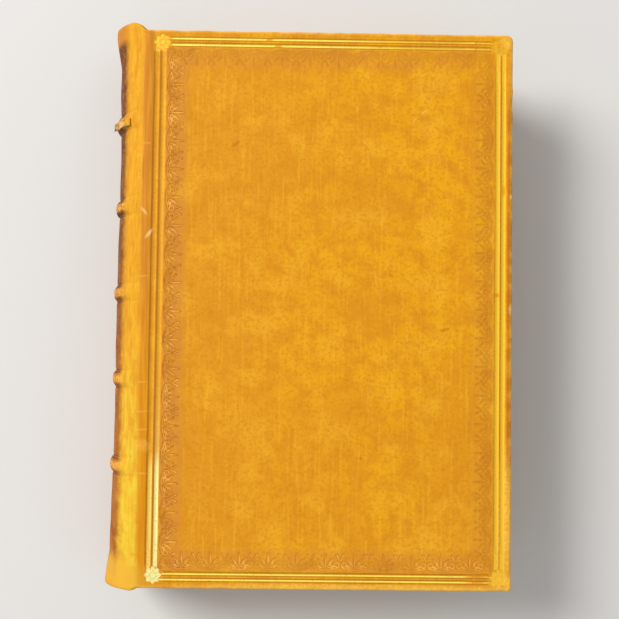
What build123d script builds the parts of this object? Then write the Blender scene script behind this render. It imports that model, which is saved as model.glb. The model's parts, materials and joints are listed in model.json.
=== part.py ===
"""Antique octavo book in full tan calf, sewn on five raised cords and laced into pasteboards.

The closed book lies flat on its back cover. Frame: origin at the bottom centre of the
bounding box, +X from the spine to the fore-edge, +Y from the tail to the head, +Z up.
All lengths are in millimetres.
"""

import os
from math import cos, radians, sin, sqrt

from build123d import *

# ---------------------------------------------------------------- driving dimensions
COVER_HEIGHT = 225.0  # head to tail, over the leather
COVER_WIDTH = 150.0  # hinge line to fore-edge, over the leather
THICKNESS = 45.0  # outside of back cover to outside of front cover

LEATHER = 0.8  # calf over the boards
SPINE_LEATHER = 0.9  # calf over the spine, less pared
TURN_IN = 0.4  # calf pared thin where it is turned inside the boards
TURN_IN_WIDTH = 14.0
BOARD = 2.8  # pasteboard
PAPER = 0.2  # endpapers
LEAF_GAP = 0.25  # air between pastedown and free endpaper when closed
SQUARE = 4.0  # how far the covers stand past the leaves

SPINE_ROUND = 13.0  # how far the rounded spine bulges past the hinge line
BAND_HEIGHT = 2.0  # raised bands and flared caps stand this far off the spine
BAND_WIDTH = 5.0
BAND_TOP_Y = 76.2  # centre of the first band below the head
BAND_PITCH = 35.3
BAND_COUNT = 5
CAP_REACH = 1.2  # head and tail caps stand this far past the covers

CORD = 2.2  # sewing cord diameter
LINING = 0.4  # paper and linen on the back of the leaves
FORE_EDGE_HOLLOW = 8.5  # depth of the concave fore-edge

# ---------------------------------------------------------------- derived sizes
MID_Z = THICKNESS / 2
HALF_COVER = COVER_HEIGHT / 2
SPINE_R = (MID_Z**2 + SPINE_ROUND**2) / (2 * SPINE_ROUND)  # outside of the spine leather
SPAN_X = COVER_WIDTH + SPINE_ROUND + BAND_HEIGHT  # whole width of the book
HINGE_X = SPINE_ROUND + BAND_HEIGHT - SPAN_X / 2
FORE_X = HINGE_X + COVER_WIDTH
AXIS_X = HINGE_X - SPINE_ROUND + SPINE_R  # centre of the spine's arc
SPINE_AXIS = Axis((AXIS_X, 0, MID_Z), (0, 1, 0))  # it meets the hinge lines 60 degrees up and down

LINING_R = SPINE_R - SPINE_LEATHER  # inside of the spine leather
BLOCK_R = LINING_R - LINING  # back of the leaves, at mid thickness
BLOCK_HALF_HEIGHT = HALF_COVER - SQUARE
COVER_DEPTH = LEATHER + BOARD + TURN_IN + PAPER  # a cover's full thickness
BLOCK_TOP_Z = THICKNESS - COVER_DEPTH - LEAF_GAP - PAPER

# A second, flatter arc trims the bands and caps down to nothing just short of the hinge lines.
TRIM_END = 57.0  # degrees up and down from the middle of the spine
TRIM_CLEAR = 0.3  # past the tops of the bands at the middle
TRIM_TOP_R = SPINE_R + BAND_HEIGHT + TRIM_CLEAR
TRIM_HALF = SPINE_R * sin(radians(TRIM_END))
TRIM_BULGE = TRIM_TOP_R - SPINE_R * cos(radians(TRIM_END))
TRIM_R = (TRIM_HALF**2 + TRIM_BULGE**2) / (2 * TRIM_BULGE)
TRIM_X = AXIS_X - TRIM_TOP_R + TRIM_R

BOARD_GAP = 2.0  # hinge line to the board's spine edge
HINGE_PARTING = 0.1  # half the parting of the leather at the hinge line
SHOULDER_DROP = 1.2  # top of the backed shoulder below the cover's outside
SHOULDER_FOOT = 1.6  # past the hinge line, where the shoulder meets the flat of the leaves

BAND_YS = [BAND_TOP_Y - BAND_PITCH * i for i in range(BAND_COUNT)]


# ---------------------------------------------------------------- helpers
def block_between(x0, x1, y0, y1, z0, z1):
    """A plain box given by its limits."""
    centre = Pos((x0 + x1) / 2, (y0 + y1) / 2, (z0 + z1) / 2)
    return centre * Box(x1 - x0, y1 - y0, z1 - z0)


def on_spine(radius, y):
    """The point at this radius from the spine's axis, pointing straight out of the spine."""
    return (AXIS_X - radius, y, MID_Z)


def turned(profile, half_angle):
    """Turns a face drawn with on_spine about the spine's axis, equally up and down."""
    start = profile.rotate(SPINE_AXIS, -half_angle)
    return revolve(start, SPINE_AXIS, revolution_arc=2 * half_angle)


def ring_on_spine(r0, r1, y0, y1, half_angle):
    """A curved strip between two radii on the spine."""
    corners = [on_spine(r0, y0), on_spine(r1, y0), on_spine(r1, y1), on_spine(r0, y1)]
    return turned(make_face(Polyline(corners, close=True)), half_angle)


def trim_cylinder(inset=0.0):
    """The flatter arc that runs out to the hinge lines, as a long cylinder."""
    lying = Pos(TRIM_X, 0, MID_Z) * Rot(90, 0, 0)
    return lying * Cylinder(TRIM_R - inset, COVER_HEIGHT * 2)


def as_back_cover(solid):
    """The front cover's piece, mirrored to the back cover."""
    return mirror(solid, Plane((0, 0, MID_Z), z_dir=(0, 0, 1)))


# ---------------------------------------------------------------- the leaves
def text_block():
    """Sewn leaves, rounded and backed: convex spine, flared shoulders, hollow fore-edge."""
    tip_z = MID_Z - SHOULDER_DROP
    tip_x = AXIS_X - sqrt(BLOCK_R**2 - tip_z**2)
    foot_x = HINGE_X + SHOULDER_FOOT
    edge_x = FORE_X - SQUARE
    low_z = THICKNESS - BLOCK_TOP_Z
    upper_tip = (tip_x, 0, MID_Z + tip_z)
    lower_tip = (tip_x, 0, MID_Z - tip_z)
    back = ThreePointArc(lower_tip, (AXIS_X - BLOCK_R, 0, MID_Z), upper_tip)
    top = Polyline(upper_tip, (foot_x, 0, BLOCK_TOP_Z), (edge_x, 0, BLOCK_TOP_Z))
    fore = ThreePointArc(
        (edge_x, 0, BLOCK_TOP_Z),
        (edge_x - FORE_EDGE_HOLLOW, 0, MID_Z),
        (edge_x, 0, low_z),
    )
    bottom = Polyline((edge_x, 0, low_z), (foot_x, 0, low_z), lower_tip)
    section = make_face([back, top, fore, bottom])
    return extrude(section, BLOCK_HALF_HEIGHT, dir=(0, 1, 0), both=True)


def flyleaf():
    """Free endpaper lying on the leaves."""
    margin = 0.2
    return block_between(
        HINGE_X + SHOULDER_FOOT + margin,
        FORE_X - SQUARE - margin,
        -BLOCK_HALF_HEIGHT + margin,
        BLOCK_HALF_HEIGHT - margin,
        BLOCK_TOP_Z,
        BLOCK_TOP_Z + PAPER,
    )


# ---------------------------------------------------------------- spine structure
CORD_ANGLE = 56.0  # cords flatten out towards the shoulders and end short of the hinge
CORD_COVER = 0.8  # leather left over a cord
CORD_SUNK = 0.25  # pressed this far into the backs of the sections
CORD_GAP = CORD / 2 + 0.2  # the lining stops this far each side of a cord's middle


def sewing_cord(y, leaves):
    """One sewing support across the back of the leaves, flattened towards its ends."""
    centre = BLOCK_R + CORD / 2 - CORD_SUNK
    section = Plane(on_spine(centre, y), x_dir=(1, 0, 0), z_dir=(0, 0, 1)) * Circle(CORD / 2)
    return (turned(section, CORD_ANGLE) - leaves) & trim_cylinder(CORD_COVER)


def spine_lining(y0, y1):
    """One panel of paper and linen glued to the back between two cords."""
    lining_angle = 54.0
    return ring_on_spine(BLOCK_R, LINING_R, y0, y1, lining_angle)


ENDBAND = 2.6  # outside of the silk
ENDBAND_CORE = 1.6
ENDBAND_IN = 0.2  # clear of the spine leather
ENDBAND_ANGLE = 52.0


def endband_round(y_sign, diameter):
    """A round cord on the end of the leaves, just inside the spine leather."""
    radius = LINING_R - ENDBAND_IN - ENDBAND / 2
    y = y_sign * (BLOCK_HALF_HEIGHT + ENDBAND / 2)
    section = Plane(on_spine(radius, y), x_dir=(1, 0, 0), z_dir=(0, 0, 1)) * Circle(diameter / 2)
    return turned(section, ENDBAND_ANGLE)


def endband_core(y_sign):
    return endband_round(y_sign, ENDBAND_CORE)


def endband_silk(y_sign):
    """Silk sewn closely over the core."""
    return endband_round(y_sign, ENDBAND) - endband_round(y_sign, ENDBAND_CORE)


# ---------------------------------------------------------------- spine leather
CAP_START_Y = 101.0  # the caps begin to flare here
CAP_TOP_Y = HALF_COVER + CAP_REACH
CAP_LIP_R = LINING_R - 2.4  # how far the cap is drawn over the endband
CAP_THICK = 2.0
CAP_ROUND = 0.8
SKIN_MID_R = (LINING_R + SPINE_R) / 2
SKIN_ANGLE = 64.0  # turned a little too far, then cut straight at the hinge lines
CORD_RECESS = 0.1  # the leather is thinner over a cord


def spine_cap(sign):
    """The leather flared over the end of the spine and drawn down over the endband."""
    top = sign * CAP_TOP_Y
    shoulder = top - sign * CAP_ROUND
    under = top - sign * CAP_THICK
    flare_r = SPINE_R + BAND_HEIGHT
    start = sign * CAP_START_Y
    flare = ThreePointArc(
        on_spine(SPINE_R, start),
        on_spine(SPINE_R + 0.3 * BAND_HEIGHT, start + 0.62 * (shoulder - start)),
        on_spine(flare_r, shoulder),
    )
    rest = Polyline(
        on_spine(flare_r, shoulder),
        on_spine(flare_r - CAP_ROUND, top),
        on_spine(CAP_LIP_R + CAP_ROUND, top),
        on_spine(CAP_LIP_R, shoulder),
        on_spine(CAP_LIP_R, under),
        on_spine(SKIN_MID_R, under),
        on_spine(SKIN_MID_R, start),
        on_spine(SPINE_R, start),
    )
    return turned(make_face([flare, rest]), SKIN_ANGLE) & trim_cylinder()


def raised_band(y):
    """The rounded ridge of leather moulded over one cord."""
    upper, lower = y + BAND_WIDTH / 2, y - BAND_WIDTH / 2
    ridge = ThreePointArc(
        on_spine(SPINE_R, upper),
        on_spine(SPINE_R + BAND_HEIGHT, y),
        on_spine(SPINE_R, lower),
    )
    rest = Polyline(
        on_spine(SPINE_R, lower),
        on_spine(SKIN_MID_R, lower),
        on_spine(SKIN_MID_R, upper),
        on_spine(SPINE_R, upper),
    )
    return turned(make_face([ridge, rest]), SKIN_ANGLE) & trim_cylinder()


def spine_leather(cords):
    """The spine of the calf cover, moulded over five cords, with a cap at each end."""
    skin = ring_on_spine(LINING_R, SPINE_R, -CAP_TOP_Y, CAP_TOP_Y, SKIN_ANGLE)
    for piece in [spine_cap(1), spine_cap(-1)] + [raised_band(y) for y in BAND_YS]:
        skin = skin + piece
    reach = block_between(
        HINGE_X - 2 * TRIM_BULGE,
        HINGE_X - HINGE_PARTING,
        -COVER_HEIGHT,
        COVER_HEIGHT,
        0,
        THICKNESS,
    )
    skin = skin & reach
    for y, cord in zip(BAND_YS, cords):
        pared = ring_on_spine(
            BLOCK_R, LINING_R + CORD_RECESS, y - CORD_GAP, y + CORD_GAP, SKIN_ANGLE
        )
        skin = skin - pared - cord
    return skin


# ---------------------------------------------------------------- front cover
CORNER_R = 2.5  # covered corners at the fore-edge
EDGE_ROUND = 0.6
SLIP_WIDTH = 2.6  # a cord frayed out and laced into the board
SLIP_DEPTH = 1.0
SLIP_START = 1.2
SLIP_LENGTH = 12.0
SLIP_HOLE_X = HINGE_X + 11.0
SLIP_TAIL = 7.0
SLIP_TAIL_DEPTH = 0.5
OUT_Z = THICKNESS - LEATHER  # board's outer face
IN_Z = OUT_Z - BOARD  # board's inner face


def fore_corners(solid, radius):
    """Rounds the two upright corners at the fore-edge."""
    upright = solid.edges().filter_by(Axis.Z).group_by(Axis.X)[-1]
    return fillet(upright, radius)


def lacing_slip(y):
    """A cord's end: over the board's edge, down through a hole and flattened inside."""
    half = SLIP_WIDTH / 2
    outside = block_between(
        HINGE_X + SLIP_START,
        HINGE_X + SLIP_LENGTH,
        y - half,
        y + half,
        OUT_Z - SLIP_DEPTH,
        OUT_Z,
    )
    through = Pos(SLIP_HOLE_X, y, (OUT_Z + IN_Z) / 2) * Cylinder(SLIP_WIDTH / 2 - 0.1, BOARD)
    tail = block_between(
        SLIP_HOLE_X - half,
        SLIP_HOLE_X + SLIP_TAIL,
        y - half,
        y + half,
        IN_Z,
        IN_Z + SLIP_TAIL_DEPTH,
    )
    return outside + through + tail


def board(slips):
    """Pasteboard, channelled and pierced for the lacing slips."""
    blank = block_between(
        HINGE_X + BOARD_GAP,
        FORE_X - LEATHER,
        -HALF_COVER + LEATHER,
        HALF_COVER - LEATHER,
        IN_Z,
        OUT_Z,
    )
    blank = fore_corners(blank, CORNER_R - LEATHER)
    for slip in slips:
        blank = blank - slip
    return blank


def cover_leather():
    """Calf over the outside of the board and round its three free edges, turned in inside."""
    turn_z = IN_Z - TURN_IN
    outer = block_between(
        HINGE_X + HINGE_PARTING, FORE_X, -HALF_COVER, HALF_COVER, turn_z, THICKNESS
    )
    outer = fore_corners(outer, CORNER_R)
    rim = outer.edges().group_by(Axis.Z)[-1].filter_by_position(
        Axis.X, HINGE_X + 1, FORE_X + 1
    )
    outer = fillet(rim, EDGE_ROUND)
    hollow = block_between(
        HINGE_X - 1, FORE_X - LEATHER, -HALF_COVER + LEATHER, HALF_COVER - LEATHER, IN_Z, OUT_Z
    )
    hollow = fore_corners(hollow, CORNER_R - LEATHER)
    window = block_between(
        HINGE_X - 1,
        FORE_X - TURN_IN_WIDTH,
        -HALF_COVER + TURN_IN_WIDTH,
        HALF_COVER - TURN_IN_WIDTH,
        turn_z - 1,
        IN_Z,
    )
    joint_clear = block_between(
        HINGE_X - 1, HINGE_X + BOARD_GAP, -COVER_HEIGHT, COVER_HEIGHT, turn_z - 1, OUT_Z
    )
    return outer - hollow - window - joint_clear


def pastedown():
    """Endpaper pasted over the board and the turn-ins, stepping down off the turn-ins."""
    margin = 3.5  # leather showing round the paper
    x0, x1 = HINGE_X + BOARD_GAP + 0.3, FORE_X - margin
    y1 = HALF_COVER - margin
    turn_z = IN_Z - TURN_IN
    step_x, step_y = FORE_X - TURN_IN_WIDTH, HALF_COVER - TURN_IN_WIDTH
    sheet = block_between(x0, x1, -y1, y1, turn_z - PAPER, IN_Z)
    over_turn_ins = block_between(x0 - 1, x1 + 1, -y1 - 1, y1 + 1, turn_z, IN_Z + 1)
    over_board = block_between(x0 - 1, step_x, -step_y, step_y, turn_z - 1, IN_Z + 1)
    sunk = block_between(
        x0 - 1, step_x - PAPER, -step_y + PAPER, step_y - PAPER, turn_z - PAPER - 1, IN_Z - PAPER
    )
    return sheet - (over_turn_ins - over_board) - sunk


# ---------------------------------------------------------------- the whole book
def build():
    """Every piece of the book by node name."""
    leaves = text_block()
    cords = [sewing_cord(y, leaves) for y in BAND_YS]
    pieces = {"text_block": leaves, "front_flyleaf": flyleaf()}
    pieces["back_flyleaf"] = as_back_cover(pieces["front_flyleaf"])
    for number, cord in enumerate(cords, 1):
        pieces[f"sewing_cord_{number}"] = cord

    limits = [BLOCK_HALF_HEIGHT, *BAND_YS, -BLOCK_HALF_HEIGHT]
    for number, (upper, lower) in enumerate(zip(limits, limits[1:]), 1):
        y1 = upper - (CORD_GAP if number > 1 else 0)
        y0 = lower + (CORD_GAP if number <= BAND_COUNT else 0)
        pieces[f"spine_lining_{number}"] = spine_lining(y0, y1)

    for name, sign in (("head", 1), ("tail", -1)):
        pieces[f"{name}_endband_core"] = endband_core(sign)
        pieces[f"{name}_endband_silk"] = endband_silk(sign)

    pieces["spine_leather"] = spine_leather(cords)

    slips = [lacing_slip(y) for y in BAND_YS]
    front = {f"slip_{number}": slip for number, slip in enumerate(slips, 1)}
    front["board"] = board(slips)
    front["cover_leather"] = cover_leather()
    front["pastedown"] = pastedown()
    for name, piece in front.items():
        pieces[f"front_{name}"] = piece
        pieces[f"back_{name}"] = as_back_cover(piece)
    return pieces


os.makedirs("parts", exist_ok=True)
for name, piece in build().items():
    piece.label = name
    export_step(piece, f"parts/{name}.step")
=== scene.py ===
import json
import math

import bmesh
import bpy
import numpy as np
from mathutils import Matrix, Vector, noise

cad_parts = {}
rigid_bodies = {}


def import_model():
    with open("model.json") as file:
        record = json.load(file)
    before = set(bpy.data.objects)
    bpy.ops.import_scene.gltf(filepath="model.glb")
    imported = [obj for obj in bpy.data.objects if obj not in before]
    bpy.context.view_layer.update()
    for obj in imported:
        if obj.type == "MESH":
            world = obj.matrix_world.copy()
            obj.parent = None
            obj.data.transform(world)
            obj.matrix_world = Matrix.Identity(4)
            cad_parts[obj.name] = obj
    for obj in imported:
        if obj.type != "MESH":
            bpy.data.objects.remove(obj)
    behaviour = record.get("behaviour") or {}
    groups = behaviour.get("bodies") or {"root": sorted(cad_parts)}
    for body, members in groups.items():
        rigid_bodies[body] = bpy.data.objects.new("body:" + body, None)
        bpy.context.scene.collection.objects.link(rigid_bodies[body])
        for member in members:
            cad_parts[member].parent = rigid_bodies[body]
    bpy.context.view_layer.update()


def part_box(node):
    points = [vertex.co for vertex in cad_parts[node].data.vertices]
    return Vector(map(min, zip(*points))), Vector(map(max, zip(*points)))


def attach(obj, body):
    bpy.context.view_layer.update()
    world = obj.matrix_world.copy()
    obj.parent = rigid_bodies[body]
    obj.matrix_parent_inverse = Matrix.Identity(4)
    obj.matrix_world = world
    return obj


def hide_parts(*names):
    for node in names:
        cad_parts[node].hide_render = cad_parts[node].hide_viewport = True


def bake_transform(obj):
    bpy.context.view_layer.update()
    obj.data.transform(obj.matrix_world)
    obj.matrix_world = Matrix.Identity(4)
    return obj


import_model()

# ---------------------------------------------------------------- calf skin, shaping
# One skin of tan calf, pared thin and pasted on wet. It covers the front board, turns over its
# three free edges, and runs across the joint and round the spine over the five cords.
skin_lo, skin_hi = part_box("front_cover_leather")
THICK = skin_hi.z  # outside of the front cover above the outside of the back cover
MID = THICK / 2
FORE = skin_hi.x
HEAD = skin_hi.y
UNDER = THICK - 0.004  # inner face of the turned-in leather
HINGE = skin_lo.x - 0.0001
SPINE_ROUND = 0.013
SPINE_R = (MID**2 + SPINE_ROUND**2) / (2 * SPINE_ROUND)
AXIS_X = HINGE - SPINE_ROUND + SPINE_R
HINGE_TURN = math.atan2(MID, AXIS_X - HINGE)  # the spine's arc ends this far up from its middle
BAND_TOP, BAND_PITCH = 0.0762, 0.0353
BAND_YS = [BAND_TOP - BAND_PITCH * i for i in range(5)]
JOINT = HINGE + 0.0035  # the flat of the cover starts here
CORNER_R = 0.0025
RIM_R = 0.0009
TURN_IN = 0.014
CALF = 0.0004


def only(obj):
    """Leaves one object selected and active."""
    bpy.ops.object.select_all(action="DESELECT")
    obj.select_set(True)
    bpy.context.view_layer.objects.active = obj


def pick(obj, kind, test):
    """In edit mode, selects the faces or edges that pass a test, and returns how many."""
    bpy.ops.mesh.select_mode(type=kind)
    bpy.ops.mesh.select_all(action="DESELECT")
    shape = bmesh.from_edit_mesh(obj.data)
    shape.normal_update()
    found = 0
    for part in shape.faces if kind == "FACE" else shape.edges:
        if kind == "FACE":
            chosen = test(part.calc_center_median(), part.normal)
        else:
            chosen = test(part.verts[0].co, part.verts[1].co)
        if chosen:
            part.select_set(True)
            found += 1
    bmesh.update_edit_mesh(obj.data)
    return found


bpy.ops.object.select_all(action="DESELECT")
bpy.ops.mesh.primitive_cube_add(size=1, location=((JOINT + FORE) / 2, 0, (THICK + UNDER) / 2))
calf = bpy.context.object
calf.name = "front_calf"
calf.scale = (FORE - JOINT, 2 * HEAD, THICK - UNDER)
bpy.ops.object.transform_apply(location=True, rotation=True, scale=True)
bpy.ops.object.mode_set(mode="EDIT")
pick(calf, "EDGE", lambda a, b: min(a.x, b.x) > FORE - 1e-5 and abs(a.z - b.z) > 0.001)
bpy.ops.mesh.bevel(offset=CORNER_R, segments=5, affect="EDGES")
pick(
    calf,
    "EDGE",
    lambda a, b: abs(a.z - b.z) < 1e-6 and max(a.x, b.x) > JOINT + 1e-5,
)
bpy.ops.mesh.bevel(offset=RIM_R, segments=3, affect="EDGES")
pick(calf, "FACE", lambda c, n: n.x < -0.9)
bpy.ops.mesh.delete(type="ONLY_FACE")

# the turn-ins: the skin stops a thumb's width inside the board's inner face
for point, normal in (
    ((FORE - TURN_IN, 0, 0), (1, 0, 0)),
    ((0, HEAD - TURN_IN, 0), (0, 1, 0)),
    ((0, -HEAD + TURN_IN, 0), (0, 1, 0)),
):
    pick(calf, "FACE", lambda c, n: n.z < -0.9)
    bpy.ops.mesh.bisect(plane_co=point, plane_no=normal)
pick(
    calf,
    "FACE",
    lambda c, n: n.z < -0.9 and c.x < FORE - TURN_IN and abs(c.y) < HEAD - TURN_IN,
)
bpy.ops.mesh.delete(type="FACE")

# the finisher's lines: double fillets all round, each with its middle and half its width, then
# a roll 7.8 mm wide inside them
FILLETS_X = [(-0.06215, 0.0009), (-0.05954, 0.0009), (0.07641, 0.00095), (0.07877, 0.0009)]
FILLETS_Y = [(-0.10882, 0.00035), (-0.10658, 0.00035), (0.10634, 0.00045), (0.10893, 0.0004)]
ROLL_X = (-0.0583, -0.0505, 0.0669, 0.0749)
ROLL_Y = (-0.1052, -0.0974, 0.0974, 0.1052)
CELLS_X, CELLS_Y = 15, 25
ROSETTE_X, ROSETTE_Y = (-0.0604, 0.0773), (0.1074, -0.1071)
ROSETTES = [(x, y) for x in ROSETTE_X for y in ROSETTE_Y]
ROSETTE_R = 0.0035
PATCH_X, PATCH_Y = (-0.06395, 0.0813), (-0.1113, 0.1113)  # the corner stamps stay within these
cuts_x = [c + s * w for c, w in FILLETS_X for s in (-1, 1)] + [*ROLL_X, *PATCH_X]
cuts_x += [ROLL_X[1] + (ROLL_X[2] - ROLL_X[1]) * i / CELLS_X for i in range(1, CELLS_X)]
cuts_y = [c + s * w for c, w in FILLETS_Y for s in (-1, 1)] + [*ROLL_Y, *PATCH_Y]
cuts_y += [ROLL_Y[1] + (ROLL_Y[2] - ROLL_Y[1]) * i / CELLS_Y for i in range(1, CELLS_Y)]
for x in cuts_x:
    pick(calf, "FACE", lambda c, n: c.x > x - 0.2)
    bpy.ops.mesh.bisect(plane_co=(x, 0, 0), plane_no=(1, 0, 0))
for y in cuts_y:
    pick(calf, "FACE", lambda c, n: c.y > y - 0.4)
    bpy.ops.mesh.bisect(plane_co=(0, y, 0), plane_no=(0, 1, 0))

# closer rows along the joint and round the three free edges, where the skin is rubbed and nicked
pick(
    calf,
    "EDGE",
    lambda a, b: max(a.x, b.x) < JOINT + 1e-5 and a.z + b.z > 2 * THICK - 1e-5,
)
bpy.ops.mesh.subdivide(number_cuts=11)
pick(
    calf,
    "EDGE",
    lambda a, b: min(a.x, b.x) > FORE - RIM_R - 1e-5
    and abs(a.x - b.x) < 1e-6
    and abs(a.z - b.z) < 1e-6
    and abs(a.y - b.y) > 0.0015,
)
bpy.ops.mesh.subdivide(number_cuts=6)
pick(
    calf,
    "EDGE",
    lambda a, b: min(abs(a.y), abs(b.y)) > HEAD - RIM_R - 1e-5
    and abs(a.y - b.y) < 1e-6
    and abs(a.z - b.z) < 1e-6
    and abs(a.x - b.x) > 0.0015,
)
bpy.ops.mesh.subdivide(number_cuts=6)

# the joint: drawn out to the hinge line, its two ends leaning over to meet the spine
STEPS = 6
for step in range(STEPS):
    reached = JOINT - (JOINT - HINGE) * step / STEPS
    pick(
        calf,
        "EDGE",
        lambda a, b: max(a.x, b.x) < reached + 1e-6
        and min(a.x, b.x) > reached - 1e-6
        and min(a.z, b.z) > UNDER + RIM_R - 1e-5,
    )
    bpy.ops.mesh.extrude_region_move(
        TRANSFORM_OT_translate={"value": ((HINGE - JOINT) / STEPS, 0, 0)}
    )
bpy.ops.object.mode_set(mode="OBJECT")
radial = Vector((math.cos(HINGE_TURN), 0, -math.sin(HINGE_TURN)))  # inwards at the hinge line
for v in calf.data.vertices:
    share = (JOINT - v.co.x) / (JOINT - HINGE)
    if share > 1e-4:
        inwards = Vector((0, 0, -1)).lerp(radial, share).normalized()
        depth = THICK - v.co.z
        v.co = Vector((v.co.x, v.co.y, THICK)) + inwards * depth

# the upper half of the spine, turned from the hinge line down to the middle
bpy.ops.object.mode_set(mode="EDIT")


def on_hinge(a, b):
    """True for an edge that lies in the slanting plane through the hinge line."""
    for p in (a, b):
        along = Vector((p.x - HINGE, 0, p.z - THICK))
        if (along - radial * along.dot(radial)).length > 1e-5:
            return False
    return True


pick(calf, "EDGE", on_hinge)
bpy.ops.mesh.spin(
    steps=26, angle=HINGE_TURN, center=(AXIS_X, 0, MID), axis=(0, 1, 0), dupli=False
)
bpy.ops.mesh.select_all(action="SELECT")
bpy.ops.mesh.remove_doubles(threshold=1e-6)
bpy.ops.object.mode_set(mode="OBJECT")


def smooth(t):
    """0 below 0, 1 above 1, and an even curve between."""
    t = min(max(t, 0.0), 1.0)
    return t * t * (3 - 2 * t)


RIDGE_HALF = 0.0031  # half the width of the ridge over a cord
RIDGE_RISE = 0.0012
GROOVE_END = 0.0044  # the nipped groove beside a ridge ends this far from its middle
GROOVE_DEPTH = 0.00024
CAP_START = 0.101  # from here the skin flares into the head and tail caps
PARED = 0.62  # the edges turned in at head and tail are pared this much thinner


def shape_spine(p):
    """Where a point of the plain half round goes: over a cord, into a cap, or out at the tail."""
    out = Vector((AXIS_X - p.x, p.z - MID))
    turn = math.degrees(math.atan2(out.y, out.x))
    depth = (SPINE_R - out.length) * (PARED if p.x < HINGE else 1)
    fade = 1 - smooth((turn - 14) / 44)  # full round the middle of the spine, none at the hinge
    over_cord = 1 - smooth((turn - 30) / 28)  # the cords stay round further, then flatten
    # fuller towards the tail, and a little sunk in the upper panels
    rise = 0.0009 * smooth((-p.y - 0.05) / 0.05) * fade
    rise -= 0.0005 * smooth(p.y / 0.06) * (1 - smooth((p.y - 0.075) / 0.02)) * fade
    for band in BAND_YS:
        away = abs(p.y - band)
        if away < RIDGE_HALF:
            ridge = RIDGE_RISE * (1 - (away / RIDGE_HALF) ** 2.6) * over_cord
            rise = max(rise + ridge, ridge)
        elif away < GROOVE_END:
            across = (away - RIDGE_HALF) / (GROOVE_END - RIDGE_HALF)
            rise -= GROOVE_DEPTH * math.sin(math.pi * across)
    cap = max((abs(p.y) - CAP_START) / (HEAD - CAP_START), 0.0)
    rise += (0.0021 * cap**1.1 if p.y > 0 else 0.0017 * cap**0.9) * fade
    rise += 0.00022 * noise.noise(Vector((turn * 0.06, p.y * 90, 3.1))) * fade  # uneven paring
    radius = SPINE_R - depth + rise
    angle = math.atan2(out.y, out.x)
    # the caps stand up past the boards, the head cap with a square shoulder
    peak = 0.0024 * smooth((turn - 1) / 16) * smooth((60 - turn) / 16) if p.y > 0 else 0
    reach = (0.0017 if p.y > 0 else 0.0014) * smooth((61 - turn) / 8) + peak
    reach = math.copysign(reach * cap**3, p.y)
    return Vector((AXIS_X - radius * math.cos(angle), p.y + reach, MID + radius * math.sin(angle)))


for v in calf.data.vertices:
    if v.co.x < HINGE + 1e-5 or (v.co.x < JOINT - 1e-4 and not (abs(v.co.y) < HEAD - 0.001)):
        turned = math.atan2(v.co.z - MID, AXIS_X - v.co.x) <= HINGE_TURN + 1e-4
        if turned:
            v.co = shape_spine(v.co)

# the leather is soft at the joint, so the corner along the hinge line is rounded off
bpy.ops.object.mode_set(mode="EDIT")
for reach in (0.0016, 0.0012, 0.0012):
    pick(
        calf,
        "FACE",
        lambda c, n: abs(c.x - HINGE) < reach and abs(c.y) < HEAD - 0.0012,
    )
    bpy.ops.mesh.vertices_smooth(factor=0.5, repeat=3)
bpy.ops.object.mode_set(mode="OBJECT")

wall = calf.modifiers.new("thickness of the skin", "SOLIDIFY")
wall.thickness = CALF
wall.offset = -1
only(calf)
bpy.ops.object.modifier_apply(modifier=wall.name)
bpy.ops.object.mode_set(mode="EDIT")
bpy.ops.mesh.select_all(action="SELECT")
bpy.ops.mesh.normals_make_consistent(inside=False)
bpy.ops.object.mode_set(mode="OBJECT")

# ---------------------------------------------------------------- calf skin, tooling
# The damped skin is struck with hot brass: gold leaf under two fillets and four corner rosettes,
# and inside them a wide roll of palmettes and scrolls with no gold, so only the press mark shows.


def on_top(c, n):
    """True on the flat outside of the cover."""
    return n.z > 0.99 and c.z > THICK - 1e-5 and c.x > JOINT


def in_patch(c):
    """True in the four corners, outside the roll, where the rosettes are."""
    if ROLL_X[1] < c.x < ROLL_X[2] or ROLL_Y[1] < c.y < ROLL_Y[2]:
        return False
    if ROLL_X[0] < c.x < ROLL_X[3] and ROLL_Y[0] < c.y < ROLL_Y[3]:
        return False
    return PATCH_X[0] < c.x < PATCH_X[1] and PATCH_Y[0] < c.y < PATCH_Y[1]


def in_fillet(c):
    """True on one of the straight fillet lines, short of the corners."""
    if any(abs(c.x - m) < w for m, w in FILLETS_X):
        return ROLL_Y[1] < c.y < ROLL_Y[2]
    return any(abs(c.y - m) < w for m, w in FILLETS_Y) and ROLL_X[1] < c.x < ROLL_X[2]


def in_roll(c):
    """True in the four strips of the roll."""
    if not (ROLL_X[0] < c.x < ROLL_X[3] and ROLL_Y[0] < c.y < ROLL_Y[3]):
        return False
    return not (ROLL_X[1] < c.x < ROLL_X[2] and ROLL_Y[1] < c.y < ROLL_Y[2])


LINE_DEPTH, LINE_SLOPE = 0.00013, 0.00012
ROLL_DEPTH, STAMP_DEPTH = 0.00017, 0.00016
only(calf)
bpy.ops.object.mode_set(mode="EDIT")
pick(calf, "FACE", lambda c, n: on_top(c, n) and in_fillet(c))
bpy.ops.mesh.inset(thickness=LINE_SLOPE, depth=-LINE_DEPTH)
bpy.ops.object.mode_set(mode="OBJECT")
# where the gold lies is kept on the mesh: first the straight lines, by their sunk floors
gold = calf.data.attributes.new("gilt", "FLOAT", "POINT")
for v in calf.data.vertices:
    if THICK - 0.0002 < v.co.z < THICK - 5e-5 and JOINT < v.co.x < FORE - 0.0011:
        if abs(v.co.y) < HEAD - 0.0011:
            gold.data[v.index].value = 1.0

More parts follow.
